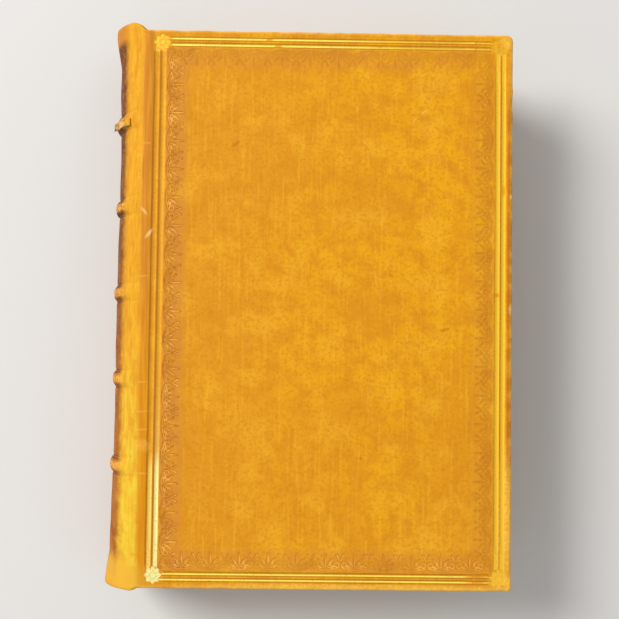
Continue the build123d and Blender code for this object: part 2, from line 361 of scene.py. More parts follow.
bpy.ops.object.mode_set(mode="EDIT")
pick(calf, "FACE", lambda c, n: on_top(c, n) and in_roll(c))
bpy.ops.mesh.subdivide(number_cuts=18)
pick(calf, "FACE", lambda c, n: on_top(c, n) and in_patch(c))
bpy.ops.mesh.subdivide(number_cuts=7)
bpy.ops.object.mode_set(mode="OBJECT")

# one repeat of the roll in millimetres: along the strip, and across it from its outer edge
PITCH = 11.5
strokes = []
for k in range(-2, 3):  # five petals of the palmette
    lean = math.radians(30 * k)
    bend = math.radians(9 * k)
    long = 6.0 - 0.7 * abs(k)
    for a, b, wide_a, wide_b in ((1.0, 0.55 * long, 0.12, 0.36), (0.55 * long, long, 0.36, 0.16)):
        strokes.append(
            (
                a * math.sin(lean),
                1.1 + a * math.cos(lean),
                b * math.sin(lean + bend),
                1.1 + b * math.cos(lean + bend),
                wide_a,
                wide_b,
            )
        )
for side in (-1, 1):  # the scroll that joins it to the next
    path = [(0.2, 0.7), (1.6, 0.6), (3.0, 1.1)]
    path += [
        (4.3 + 1.0 * math.cos(math.radians(t)), 2.6 + 1.2 * math.sin(math.radians(t)))
        for t in (-90, -45, 0, 45, 90, 140, 185)
    ]
    for (xa, ya), (xb, yb) in zip(path, path[1:]):
        strokes.append((side * xa, ya, side * xb, yb, 0.2, 0.2))
    strokes.append((side * (PITCH / 2 - 0.2), 4.3, side * (PITCH / 2 - 1.3), 6.6, 0.14, 0.34))
strokes = np.array(strokes)


def roll_mark(x, y):
    """How deep the roll bites at each place, 0 to 1; the strips meet in mitres."""
    left, right = x - ROLL_X[0] * 1000, ROLL_X[3] * 1000 - x
    foot, head = y - ROLL_Y[0] * 1000, ROLL_Y[3] * 1000 - y
    across = np.stack([left, right, foot, head])
    nearest = across.argmin(axis=0)
    v = across.min(axis=0)
    u = np.choose(nearest, [y + 2, -y, -x - 3, x])
    u = (u + PITCH / 2) % PITCH - PITCH / 2
    ax, ay, bx, by, wa, wb = strokes.T[:, None, :]
    along = ((u[:, None] - ax) * (bx - ax) + (v[:, None] - ay) * (by - ay)) / (
        (bx - ax) ** 2 + (by - ay) ** 2
    )
    along = np.clip(along, 0, 1)
    away = np.hypot(u[:, None] - ax - along * (bx - ax), v[:, None] - ay - along * (by - ay))
    bite = np.clip((wa + along * (wb - wa) + 0.28 - away) / 0.4, 0, 1).max(axis=1)
    force = np.choose(nearest, [1.0, 0.6, 1.0, 0.55])
    return bite * force * ((v > 0) & (v < 7.9))


def rosette_mark(x, y):
    """Depth of the four corner stamps, 0 to 1, and depth and gold of the lines next to them."""
    deep, leaf = np.zeros_like(x), np.zeros_like(x)
    for cx, cy in ROSETTES:
        px, py = x - cx * 1000, y - cy * 1000
        r, turn = np.hypot(px, py), np.arctan2(py, px)
        edge = ROSETTE_R * 1000 * (0.91 + 0.09 * np.cos(8 * turn))
        inside = np.clip((edge - r) / 0.22, 0, 1)
        vein = np.clip(1 - np.abs(np.sin(4 * turn)) * r / 0.34, 0, 1) * (r > 1.3)
        vein = np.maximum(vein, np.clip(1 - np.abs(r - 1.25) / 0.2, 0, 1))
        deep = np.maximum(deep, inside * (1 - 0.8 * vein))
        here = (np.abs(px) < 10.5) & (np.abs(py) < 10.5)
        for lines, off, run, sign in ((FILLETS_X, x, py, cy), (FILLETS_Y, y, px, cx)):
            for at, half in lines:
                line = np.clip((half * 1000 - np.abs(off - at * 1000)) / 0.12, 0, 1)
                line = line * here * (run * sign < 0) * (r > 3.2) * (np.abs(run) < 10.2)
                deep, leaf = np.maximum(deep, line), np.maximum(leaf, line)
    return deep, leaf


# every point of the flat is pressed by the roll and the stamps, harder in some places
count = len(calf.data.vertices)
places = np.empty(count * 3)
calf.data.vertices.foreach_get("co", places)
places = places.reshape(-1, 3)
golds, blinds = np.zeros(count), np.zeros(count)
gold = calf.data.attributes["gilt"]
gold.data.foreach_get("value", golds)
flat = (np.abs(places[:, 2] - THICK) < 1e-5) & (places[:, 0] > JOINT + 1e-5)
mm = places[flat] * 1000
bite = roll_mark(mm[:, 0], mm[:, 1])
deep, leaf = rosette_mark(mm[:, 0], mm[:, 1])
bite = bite * (1 - np.clip(deep * 4, 0, 1))
rub = np.array([0.75 + 0.45 * noise.noise(Vector((p[0] * 0.11, p[1] * 0.11, 5.0))) for p in mm])
bite = np.clip(bite * rub, 0, 1)
places[flat, 2] -= ROLL_DEPTH * bite + STAMP_DEPTH * deep
golds[flat] = np.maximum(golds[flat], leaf)
blinds[flat] = bite
calf.data.vertices.foreach_set("co", places.ravel())
gold.data.foreach_set("value", golds)
pressed = calf.data.attributes.new("blind", "FLOAT", "POINT")
pressed.data.foreach_set("value", blinds)

# head, tail and fore-edge are knocked about: small dents along the rim, deepest at one corner
for v in calf.data.vertices:
    p = v.co
    near = min(FORE - p.x, HEAD - 0.0012 - abs(p.y) if p.x > JOINT else 1)
    if near < 0.0012 and p.x > JOINT:
        bump = smooth(1 - (p - Vector((FORE, -HEAD, THICK))).length / 0.007)
        dent = (0.00016 + 0.0005 * bump) * noise.noise(p * 160)
        dent += (0.0001 + 0.0004 * bump) * noise.noise(p * 420)
        v.co += Vector((dent, dent * math.copysign(1, p.y), 0.6 * dent - 0.00006))
for polygon in calf.data.polygons:
    polygon.use_smooth = True
only(calf)
bpy.ops.object.shade_smooth_by_angle(angle=math.radians(48))

# the back half is struck and shaped the same, so it is the front turned over
only(calf)
bpy.ops.object.duplicate()
under = bpy.context.object
under.name = "back_calf"
bpy.ops.object.mode_set(mode="EDIT")
bpy.ops.mesh.select_all(action="SELECT")
bpy.ops.transform.mirror(constraint_axis=(False, False, True), center_override=(0, 0, MID))
bpy.ops.mesh.flip_normals()
bpy.ops.object.mode_set(mode="OBJECT")

# a strip torn from the first band and curled out past the side of the spine, on the front only
TORN = 0.00035  # the torn strip has lost its back layers
bpy.ops.mesh.primitive_grid_add(x_subdivisions=12, y_subdivisions=4, size=1)
curl = bpy.context.object
path = [(-73.4, 75.4, 41.8), (-75.2, 75.4, 40.3), (-76.9, 74.9, 38.9)]
path += [(-78.5, 74.1, 38.1), (-80.3, 73.1, 38.8)]
for v in curl.data.vertices:
    along, side = (v.co.x + 0.5) * 3.999, v.co.y
    i = int(along)
    x, y, z = (a + (b - a) * (along - i) for a, b in zip(path[i], path[i + 1]))
    wide = 2.9 + 0.35 * math.sin(along * 2.3) + 0.25 * noise.noise(Vector((along * 3, side, 0)))
    v.co = Vector((x, y + side * wide, z + 0.25 * side * side * along - 0.2)) / 1000
strip_wall = curl.modifiers.new("thickness", "SOLIDIFY")
strip_wall.thickness = TORN
bpy.ops.object.modifier_apply(modifier=strip_wall.name)
bpy.ops.object.shade_smooth_by_angle(angle=math.radians(50))
calf.select_set(True)
bpy.context.view_layer.objects.active = calf
bpy.ops.object.join()

# ---------------------------------------------------------------- calf skin, colour
# Vegetable-tanned calf, dyed in the vat and polished by hands, gone amber with age: cloudy over the
# boards, darker where the roll pressed it, with painted shade in the pressed lines and grooves, and
# rubbed pale along the joints and the edges, with painted highlights laid in there too.


def rgb(code):
    """An sRGB hex colour as linear red, green, blue and alpha."""
    channels = [int(code[i : i + 2], 16) / 255 for i in (1, 3, 5)]
    return (*[c / 12.92 if c <= 0.04045 else ((c + 0.055) / 1.055) ** 2.4 for c in channels], 1)


# nodes that are used over and over, each with its usual settings
BLEND = ("ShaderNodeMix", {"data_type": "RGBA"})  # one colour laid over another
RAMP = ("ShaderNodeMapRange", {"interpolation_type": "SMOOTHSTEP"})  # runs smoothly from a to b
TIMES, PLUS, MINUS, LARGER, SMALLER, SIZE_OF, REMAINDER, ROOT, COSINE, ANGLE_OF = [
    ("ShaderNodeMath", {"operation": name})
    for name in (
        *("MULTIPLY", "ADD", "SUBTRACT", "MAXIMUM", "MINIMUM"),
        *("ABSOLUTE", "MODULO", "SQRT", "COSINE", "ARCTAN2"),
    )
]


def add(tree, kind, *values, output=0, named=None, **settings):
    """Adds a node, sets it, fills or links its inputs, and returns one of its outputs."""
    name, usual = kind if isinstance(kind, tuple) else (kind, {})
    made = tree.nodes.new(name)
    for key, value in {**usual, **settings}.items():
        setattr(made, key, value)
    sockets = list(zip([s for s in made.inputs if s.enabled], values))
    sockets += [(made.inputs[key], value) for key, value in (named or {}).items()]
    for socket, value in sockets:
        if isinstance(value, bpy.types.NodeSocket):
            tree.links.new(value, socket)
        else:
            socket.default_value = value
    if isinstance(output, str):
        return made.outputs[output]
    return [s for s in made.outputs if s.enabled][output]


def within(tree, value, lo, hi, soft):
    """1 where a value lies between two limits."""
    up = add(tree, RAMP, value, lo - soft, lo + soft)
    return add(tree, TIMES, up, add(tree, RAMP, value, hi - soft, hi + soft, 1.0, 0.0))


def cloud(tree, place, scale, detail=3.0, stretch=(1, 1, 1), rough=0.55):
    """Cloudy noise, 0 to 1, at so many puffs to the millimetre."""
    moved = add(tree, "ShaderNodeVectorMath", place, stretch, operation="MULTIPLY")
    return add(tree, "ShaderNodeTexNoise", moved, scale, detail, rough)


def spot(tree, place, centre, size, turn=0.0):
    """1 at a place, fading to 0 over an oval of the given half sizes."""
    turned = (0, 0, turn)
    local = add(tree, "ShaderNodeMapping", place, centre, turned, size, vector_type="TEXTURE")
    far = add(tree, "ShaderNodeVectorMath", local, operation="LENGTH")
    return add(tree, RAMP, far, 0.35, 1.0, 1.0, 0.0)


def start_material(name, kept_place=None):
    """A new material: its node tree, its surface shader and places in millimetres."""
    made = bpy.data.materials.new(name)
    made.use_nodes = True
    tree = made.node_tree
    shader = tree.nodes["Principled BSDF"]
    if kept_place:
        place = add(tree, "ShaderNodeAttribute", attribute_name=kept_place, output="Vector")
    else:
        place = add(tree, "ShaderNodeTexCoord", output="Object")
    place = add(tree, "ShaderNodeVectorMath", place, 1000.0, operation="SCALE")
    return made, tree, shader, place


# each half carries its resting places, which its colours are laid out by
for half in (calf, under):
    resting = np.empty(3 * len(half.data.vertices))
    half.data.vertices.foreach_get("co", resting)
    kept = half.data.attributes.new("resting place", "FLOAT_VECTOR", "POINT")
    kept.data.foreach_set("vector", resting)

# places are in millimetres here, from the middle of the book
# the ground under every other effect: broad, middle and fine clouds of the tan, and streaks up
# and down the boards where the skin was stretched; a dull sheen, with hardly any reflection
calf_look, t, shader, place = start_material("aged tan calf", "resting place")
X, Y, Z = [add(t, "ShaderNodeSeparateXYZ", place, output=axis) for axis in "XYZ"]
AY = add(t, SIZE_OF, Y)
front = add(t, RAMP, Z, 23, 27)
large = cloud(t, place, 0.028)
middle = cloud(t, place, 0.16, 4.0)
fine = cloud(t, place, 0.9, 4.0)
streak = cloud(t, place, 1.0, 2.0, (0.8, 0.04, 0.8))
colour = add(t, BLEND, add(t, RAMP, large, 0.35, 0.62), rgb("#e9a514"), rgb("#dd9519"))
near_joint = add(t, RAMP, X, -52, 25, 0.75, 0.0)
near_foot = add(t, RAMP, add(t, MINUS, X, Y), 90, 190, 0.0, 0.8)
colour = add(t, BLEND, add(t, PLUS, near_joint, near_foot), colour, rgb("#db9326"))
colour = add(t, BLEND, add(t, RAMP, middle, 0.36, 0.72, 0.0, 0.95), colour, rgb("#d68c1a"))
bright = add(t, RAMP, cloud(t, place, 0.07, 2.0), 0.5, 0.7, 0.0, 0.5)
colour = add(t, BLEND, bright, colour, rgb("#efae28"))
colour = add(t, BLEND, add(t, RAMP, streak, 0.48, 0.72, 0.0, 0.45), colour, rgb("#eeae2a"))
colour = add(t, BLEND, add(t, RAMP, fine, 0.42, 0.7, 0.0, 0.62), colour, rgb("#cd8212"))

# the ground of the roll, pinker and browner, a hair wider than the strip that the roll covers
outer_ring = add(t, TIMES, within(t, X, -58.2, 75.0, 0.3), add(t, RAMP, AY, 105.0, 105.6, 1.0, 0.0))
inner_ring = add(t, TIMES, within(t, X, -49.8, 66.0, 1.6), add(t, RAMP, AY, 95.4, 98.6, 1.0, 0.0))
ring = add(t, MINUS, outer_ring, inner_ring, use_clamp=True)
weight = add(t, TIMES, ring, add(t, RAMP, middle, 0.3, 0.6, 0.3, 0.75))
by_side = add(t, PLUS, add(t, RAMP, X, -50, -44, 0.5, 0.0), add(t, RAMP, X, 58, 66, 0.5, 0.22))
colour = add(t, BLEND, add(t, TIMES, weight, by_side), colour, rgb("#cf8634"))

# the roll's strokes: a darker rim, partly where the brass burnt the skin and partly painted shade
# in the walls of the strokes, and a paler middle, partly rubbed and partly a painted highlight
blind = add(t, "ShaderNodeAttribute", attribute_name="blind", output="Fac")
burnt_and_painted_shade_rim = within(t, blind, 0.08, 0.5, 0.1)
burnt_and_painted_shade_rim = add(t, TIMES, burnt_and_painted_shade_rim, add(t, RAMP, fine, 0.38, 0.62, 1.0, 0.3))
burnt_and_painted_shade_rim = add(t, TIMES, burnt_and_painted_shade_rim, add(t, RAMP, Y, 92, 97, 1.0, 0.7))
burnt_and_painted_shade_rim = add(t, TIMES, burnt_and_painted_shade_rim, add(t, RAMP, X, -50, -44, 0.75, 0.45))
colour = add(t, BLEND, burnt_and_painted_shade_rim, colour, rgb("#a05e1a"))
rubbed_and_painted_highlight_stroke = add(t, RAMP, blind, 0.5, 0.95)
rubbed_and_painted_highlight_stroke = add(t, TIMES, rubbed_and_painted_highlight_stroke, add(t, RAMP, fine, 0.3, 0.6, 0.35, 0.95))
colour = add(t, BLEND, rubbed_and_painted_highlight_stroke, colour, rgb("#f2b455"))

# between the fillets and the joint, and outside the fillets at the fore-edge, it is browner
strip = within(t, X, -67.6, -63.3, 0.4)
strip_low = add(t, BLEND, add(t, RAMP, streak, 0.4, 0.65), rgb("#d2840f"), rgb("#dc9418"))
strip_high = add(t, BLEND, add(t, RAMP, streak, 0.4, 0.65), rgb("#c37a22"), rgb("#d58b2c"))
strip_tone = add(t, BLEND, add(t, RAMP, Y, -70, 40), strip_low, strip_high)
colour = add(t, BLEND, add(t, TIMES, strip, 0.8), colour, strip_tone)
fore = add(t, TIMES, add(t, RAMP, X, 79.9, 80.6), within(t, Y, -72, 84, 9))
fore = add(t, TIMES, fore, add(t, RAMP, middle, 0.3, 0.6, 0.4, 1.0))
colour = add(t, BLEND, fore, colour, rgb("#bb7019"))

# painted shade in the walls of the pressed lines and along the flanks of the fillets
line_shade = within(t, X, -63.7, -63.15, 0.15)
line_shade = add(t, LARGER, line_shade, within(t, X, 77.42, 77.8, 0.12))
line_shade = add(t, LARGER, line_shade, within(t, X, -61.2, -60.5, 0.12))
line_shade = add(t, TIMES, line_shade, add(t, RAMP, AY, 103, 104, 1.0, 0.0))
flanks = within(t, add(t, SIZE_OF, add(t, MINUS, AY, 106.46)), 0.5, 0.95, 0.15)
other = within(t, add(t, SIZE_OF, add(t, MINUS, AY, 108.87)), 0.45, 0.85, 0.15)
flanks = add(t, TIMES, add(t, LARGER, flanks, other), within(t, X, -56.5, 73.3, 0.5))
line_shade = add(t, LARGER, line_shade, flanks)
colour = add(t, BLEND, add(t, TIMES, line_shade, 0.6), colour, rgb("#9a5a12"))

# the spine: brown, darkest low on its side, its bands rubbed pale along the top
spine = add(t, RAMP, X, -77.2, -72.6, 1.0, 0.0)
spine_tone = add(t, BLEND, add(t, RAMP, Y, -60, 70), rgb("#a8621a"), rgb("#66391a"))
spine_tone = add(t, BLEND, add(t, RAMP, middle, 0.32, 0.75, 0.0, 0.55), spine_tone, rgb("#552e13"))
spine_tone = add(t, BLEND, add(t, RAMP, fine, 0.5, 0.75, 0.0, 0.6), spine_tone, rgb("#c07c2c"))
pitch = BAND_PITCH * 1000
from_band = add(t, REMAINDER, add(t, PLUS, Y, 10.5 * pitch - BAND_TOP * 1000), pitch)
from_band = add(t, SIZE_OF, add(t, MINUS, from_band, pitch / 2))
in_bands = add(t, RAMP, AY, 90, 92, 1.0, 0.0)
patches = cloud(t, place, 0.28, 4.0, (1, 0.8, 1))
spine_tone = add(t, BLEND, add(t, RAMP, patches, 0.52, 0.64, 0.0, 0.5), spine_tone, rgb("#a2611f"))
crown = add(t, TIMES, add(t, RAMP, from_band, 0.9, 2.2, 1.0, 0.0), in_bands)
crown = add(t, TIMES, crown, add(t, RAMP, fine, 0.35, 0.6, 0.25, 0.9))
spine_tone = add(t, BLEND, crown, spine_tone, rgb("#e2a244"))
# painted shade: thin dark lines in the nipped grooves on either side of each band
beside = add(t, LARGER, within(t, from_band, 2.5, 2.9, 0.15), within(t, from_band, 3.5, 3.9, 0.15))
beside = add(t, TIMES, beside, in_bands)
spine_tone = add(t, BLEND, add(t, TIMES, beside, 0.85), spine_tone, rgb("#4a260c"))
spine_tone = add(t, BLEND, add(t, RAMP, AY, 107.5, 111.5, 0.0, 0.75), spine_tone, rgb("#d3872a"))
colour = add(t, BLEND, spine, colour, spine_tone)

# the rubbed joint: a bright strip over the spine's shoulder, partly leather rubbed pale and partly
# a painted highlight where the shoulder slopes towards the lamp, broadest and palest at the tail
wander = add(t, TIMES, add(t, MINUS, cloud(t, place, 0.3, 5.0, (0.6, 1, 0.6), 0.7), 0.5), 6.5)
edge = add(t, PLUS, X, wander)
low = add(t, RAMP, Y, -100, 20, 1.0, 0.0)
left_edge = add(t, RAMP, edge, -77.4, -73.4)
right_edge = add(t, RAMP, add(t, MINUS, X, low), -69.2, -66.6, 1.0, 0.0)
joint = add(t, TIMES, left_edge, right_edge)
joint_rub_and_painted_highlight_tone = add(t, BLEND, add(t, RAMP, Y, -85, 20), rgb("#dcc136"), rgb("#d8a022"))
drag = cloud(t, place, 1.0, 5.0, (0.6, 0.09, 0.6), 0.7)
dragged = add(t, TIMES, add(t, RAMP, drag, 0.4, 0.66), add(t, RAMP, Y, -90, 0, 0.35, 0.8))
joint_rub_and_painted_highlight_tone = add(t, BLEND, dragged, joint_rub_and_painted_highlight_tone, rgb("#bd7a1a"))
joint_rub_and_painted_highlight_tone = add(t, BLEND, add(t, RAMP, patches, 0.5, 0.66, 0.0, 0.5), joint_rub_and_painted_highlight_tone, rgb("#c98220"))
joint = add(t, TIMES, joint, add(t, RAMP, middle, 0.25, 0.6, 1.0, 0.6))
colour = add(t, BLEND, joint, colour, joint_rub_and_painted_highlight_tone)

# the tail of the spine worn through to its paler inside, and thin cracks across the joint
tail = spot(t, place, (-72, -110, 38), (13, 12, 30))
tail = add(t, LARGER, tail, spot(t, place, (-78, -108, 30), (8, 11, 18)))
colour = add(t, BLEND, add(t, TIMES, tail, add(t, TIMES, front, 0.85)), colour, rgb("#d9a332"))
rub = spot(t, place, (-65.2, -56, 45), (4.4, 3.4, 12))
for y, long in ((-42.4, 4.2), (-49.6, 3.6), (-67.0, 5.0), (-30.5, 2.6), (12.0, 2.2), (66.0, 2.5)):
    crack = spot(t, place, (-66.0, y, 45), (long, 0.55, 12), math.radians(y % 7 - 3))
    rub = add(t, LARGER, rub, crack)
rub = add(t, TIMES, rub, add(t, RAMP, fine, 0.3, 0.55, 1.0, 0.45))
colour = add(t, BLEND, add(t, TIMES, rub, add(t, TIMES, front, 0.8)), colour, rgb("#e9ac44"))

# edges rubbed thin and pale, with a painted highlight laid along the rims as well
rim = add(t, SMALLER, add(t, MINUS, FORE * 1000, X), add(t, MINUS, HEAD * 1000, AY))
rim_rub_and_painted_highlight = add(t, TIMES, add(t, RAMP, rim, 0.2, 1.5, 1.0, 0.0), add(t, RAMP, X, -68, -64))
rim_rub_and_painted_highlight = add(t, TIMES, rim_rub_and_painted_highlight, add(t, RAMP, middle, 0.3, 0.65, 1.0, 0.3))
colour = add(t, BLEND, rim_rub_and_painted_highlight, colour, rgb("#f2bd62"))
corner = spot(t, place, (80.5, -110, 45), (8, 7, 20))
corner = add(t, LARGER, corner, spot(t, place, (79.8, -84, 45), (4.0, 36, 20)))
corner = add(t, LARGER, corner, spot(t, place, (20, -111.3, 45), (88, 1.7, 20)))
corner = add(t, LARGER, corner, spot(t, place, (80.4, 109.5, 45), (4, 4.5, 20)))
corner = add(t, TIMES, corner, add(t, RAMP, fine, 0.3, 0.6, 0.95, 0.45))
colour = add(t, BLEND, add(t, TIMES, corner, front), colour, rgb("#f4c04a"))

# knocks, scuffs and small stains, on the front only
scuffs = spot(t, place, (-64.3, 29.3, 45), (1.0, 3.4, 9), math.radians(-38))
scuffs = add(t, LARGER, scuffs, spot(t, place, (-78.9, 74.2, 38.5), (4.6, 2.8, 3.6)))
for centre, size, turn in (
    ((-66.6, 38.4, 45), (0.8, 2.6, 9), math.radians(40)),
    ((46.3, 80.2, 45), (0.3, 2.1, 9), math.radians(-50)),
    ((42.6, 76.9, 45), (0.25, 1.7, 9), math.radians(-35)),
    ((82.0, 0.2, 44), (1.3, 3.2, 9), 0),
    ((81.9, 46.0, 44), (0.9, 1.6, 9), 0),
):
    scuffs = add(t, LARGER, scuffs, spot(t, place, centre, size, turn))
scuffs = add(t, TIMES, scuffs, add(t, RAMP, fine, 0.34, 0.6, 1.0, 0.55))
colour = add(t, BLEND, add(t, TIMES, scuffs, add(t, TIMES, front, 0.8)), colour, rgb("#f3c983"))
stains = spot(t, place, (33.5, 13.3, 45), (1.0, 1.2, 9))
for centre, size, turn in (
    ((55.4, -8.2, 45), (2.6, 1.1, 9), math.radians(20)),
    ((-67.2, 57, 45), (0.5, 9, 9), 0),
    ((22, -60, 45), (0.8, 1.0, 9), 0),
    ((-30, 66, 45), (3.0, 1.0, 9), math.radians(35)),
):
    stains = add(t, LARGER, stains, spot(t, place, centre, size, turn))
colour = add(t, BLEND, add(t, TIMES, stains, add(t, TIMES, front, 0.34)), colour, rgb("#8d5312"))

# gold leaf, whole in the lines that were never handled and worn off beside the joint
gilt = add(t, "ShaderNodeAttribute", attribute_name="gilt", output="Fac")
mid_x, half_x = 500 * sum(ROSETTE_X), 500 * (ROSETTE_X[1] - ROSETTE_X[0])
mid_y, half_y = 500 * sum(ROSETTE_Y), 500 * (ROSETTE_Y[0] - ROSETTE_Y[1])
U = add(t, MINUS, add(t, SIZE_OF, add(t, MINUS, X, mid_x)), half_x)
V = add(t, MINUS, add(t, SIZE_OF, add(t, MINUS, Y, mid_y)), half_y)
far = add(t, ROOT, add(t, PLUS, add(t, TIMES, U, U), add(t, TIMES, V, V)))
lobe = add(t, COSINE, add(t, TIMES, add(t, ANGLE_OF, V, U), 8.0))
outline = add(t, PLUS, add(t, TIMES, lobe, 0.3), 3.2)
flower = add(t, RAMP, add(t, MINUS, outline, far), 0.0, 0.3)
vein = add(t, TIMES, add(t, RAMP, lobe, -1.0, -0.7, 1.0, 0.0), add(t, RAMP, far, 1.2, 1.5))
vein = add(t, LARGER, vein, within(t, far, 1.1, 1.4, 0.12))
flower = add(t, TIMES, flower, add(t, MINUS, 1.0, add(t, TIMES, vein, 0.4)))
gilt = add(t, LARGER, gilt, add(t, TIMES, flower, add(t, RAMP, X, -66, -65)))
worn = add(t, TIMES, within(t, X, -65, -61, 0.2), add(t, RAMP, Y, -66, -58))
worn_inner = add(t, TIMES, within(t, X, -61, -57.5, 0.2), add(t, RAMP, Y, -66, -56, 0.0, 0.8))
worn = add(t, LARGER, worn, worn_inner)
worn = add(t, TIMES, worn, add(t, RAMP, Y, 103.0, 104.2, 1.0, 0.0))
for centre, size in (
    ((-16.8, 108.93, 45), (2.0, 1, 9)),
    ((-13.3, 106.34, 45), (2.2, 1, 9)),
    ((78.77, 48.5, 45), (1.2, 3.2, 9)),
    ((76.41, 6.0, 45), (1.2, 1.4, 9)),
    ((68.5, -107.6, 45), (7.5, 2.8, 9)),
    ((77.3, 108.2, 45), (3.4, 3.0, 9)),
):
    worn = add(t, LARGER, worn, spot(t, place, centre, size))
fading = add(t, TIMES, add(t, RAMP, X, 0, 50, 0.0, 0.62), add(t, RAMP, Y, 104, 105))
worn = add(t, LARGER, fading, add(t, TIMES, worn, 0.9))
specks = add(t, RAMP, cloud(t, place, 1.6, 3.0), 0.56, 0.7, 0.0, 0.7)
left = add(t, TIMES, add(t, MINUS, 1.0, worn), add(t, MINUS, 1.0, specks))
leaf = add(t, TIMES, gilt, left)
# the leaf's tone differs from line to line; the pale greenish gold towards the tail is a painted
# highlight where the leaf catches the light
gold_and_painted_highlight_tone = add(t, BLEND, add(t, RAMP, Y, -80, -20), rgb("#f2ea98"), rgb("#edb944"))
outermost = add(t, TIMES, add(t, RAMP, X, -61.2, -60.6, 0.8, 0.0), add(t, RAMP, far, 3.3, 3.6))
gold_and_painted_highlight_tone = add(t, BLEND, outermost, gold_and_painted_highlight_tone, rgb("#f2c14a"))
gold_and_painted_highlight_tone = add(t, BLEND, add(t, RAMP, X, -56.5, -55), gold_and_painted_highlight_tone, rgb("#f3bf35"))
gold_and_painted_highlight_tone = add(t, BLEND, within(t, X, -56.3, 73, 0.5), gold_and_painted_highlight_tone, rgb("#fae862"))
head_stamps = add(t, TIMES, add(t, RAMP, far, 3.4, 3.7, 1.0, 0.0), add(t, RAMP, Y, 0, 20))
gold_and_painted_highlight_tone = add(t, BLEND, head_stamps, gold_and_painted_highlight_tone, rgb("#edc03c"))
colour = add(t, BLEND, leaf, colour, gold_and_painted_highlight_tone)
t.links.new(colour, shader.inputs["Base Color"])
t.links.new(add(t, TIMES, leaf, 0.2), shader.inputs["Metallic"])
t.links.new(add(t, RAMP, middle, 0.3, 0.7, 0.5, 0.62), shader.inputs["Roughness"])
shader.inputs["Specular IOR Level"].default_value = 0.07

# pores drawn coarser than life so that they show, soft creases and long drying ripples
grain = cloud(t, place, 2.6, 3.0)
ripple = cloud(t, place, 0.12, 3.0, (1.4, 0.35, 1.4))
height = add(t, PLUS, add(t, TIMES, grain, 0.10), add(t, TIMES, ripple, 0.9))
height = add(t, PLUS, height, add(t, TIMES, fine, 0.22))
height = add(t, MINUS, height, add(t, TIMES, scuffs, 0.25))
relief = add(t, "ShaderNodeBump", 0.5, 0.0002, named={"Height": height})
t.links.new(relief, shader.inputs["Normal"])
for half in (calf, under):
    half.data.materials.clear()
    half.data.materials.append(calf_look)

# ---------------------------------------------------------------- calf skin, fitting
# The skin is one piece in two halves; each half's placing is baked into its mesh, and the model's
# cover and spine leathers are hidden in its place.
for half, cover, z in ((calf, "front_cover", THICK), (under, "back_cover", 0.0)):
    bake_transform(half)
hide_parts("front_cover_leather", "spine_leather")
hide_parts("back_cover_leather")

# ---------------------------------------------------------------- leaves
# About three hundred leaves of rag paper, sewn in gatherings and shown as 170 layers. The back is
# rounded, so the fore-edge is hollow; some leaves stand a hair proud of others at the cut edges.
block = bpy.data.objects["text_block"]
to_block = block.matrix_world.inverted()
block_lo, block_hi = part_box("text_block")
LAYERS = 170
LAYER = (block_hi.z - block_lo.z) / LAYERS


def reach_of_block(z, sign):
    """Where a level line from the fore-edge or from the back first meets the block."""
    start = to_block @ Vector((sign * 0.12, 0.004, z))
    heading = (to_block.to_3x3() @ Vector((-sign, 0, 0))).normalized()
    point = block.ray_cast(start, heading)[1]
    return (block.matrix_world @ point).x


bpy.ops.object.select_all(action="DESELECT")
bpy.ops.mesh.primitive_cube_add(size=1, location=(0, 0, block_lo.z + LAYER / 2))
leaves = bpy.context.object
leaves.name = "leaves"
leaves.scale = (1, 1, LAYER * 0.97)
bpy.ops.object.transform_apply(location=True, rotation=True, scale=True)
stack = leaves.modifiers.new("stack", "ARRAY")
stack.count = LAYERS
stack.use_relative_offset = False
stack.use_constant_offset = True
stack.constant_offset_displace = (0, 0, LAYER)
bpy.ops.object.modifier_apply(modifier=stack.name)
for i in range(LAYERS):
    z = block_lo.z + LAYER * (i + 0.5)
    back, fore = reach_of_block(z, -1), reach_of_block(z, 1)
    gather = 0.00012 * noise.noise(Vector((i // 8 * 1.7, 2.2, 0)))
    trims = [gather + 0.00012 * noise.noise(Vector((i * 2.3, k * 5.1, 1.5))) for k in range(4)]
    for v in leaves.data.vertices[8 * i : 8 * i + 8]:
        v.co.x = fore - 0.0001 + trims[0] if v.co.x > 0 else back
        v.co.y = block_hi.y - 0.0001 + trims[1] if v.co.y > 0 else block_lo.y + 0.0001 + trims[2]
# cut edges of rag paper: fine lines along the leaves, toned and dusty, with no shine
paper, t, shader, place = start_material("cut edges of rag paper")
lines = cloud(t, place, 1.0, 3.0, (0.05, 0.05, 5.0), 0.7)
tone = add(t, BLEND, add(t, RAMP, lines, 0.3, 0.7), rgb("#b9935c"), rgb("#e6cf9f"))
tone = add(
    t, BLEND, add(t, RAMP, cloud(t, place, 0.09, 4.0), 0.45, 0.75, 0.0, 0.6), tone, rgb("#c59a5e")
)
dust = add(t, "ShaderNodeSeparateXYZ", place, output="Y")
tone = add(t, BLEND, add(t, RAMP, dust, 106, 108.4, 0.0, 0.35), tone, rgb("#8c6a43"))
tone = add(
    t, BLEND, add(t, RAMP, cloud(t, place, 1.4, 3.0), 0.62, 0.72, 0.0, 0.55), tone, rgb("#8e5a2c")
)
t.links.new(tone, shader.inputs["Base Color"])
shader.inputs["Roughness"].default_value = 0.85
shader.inputs["Specular IOR Level"].default_value = 0.15
leaves.data.materials.append(paper)
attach(leaves, "text_block")
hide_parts("text_block")

# ---------------------------------------------------------------- endbands
# Silk in two colours, wound turn beside turn over a cord that follows the rounded back and sits
# on the head and tail of the leaves, half hidden by the caps.
silk = []
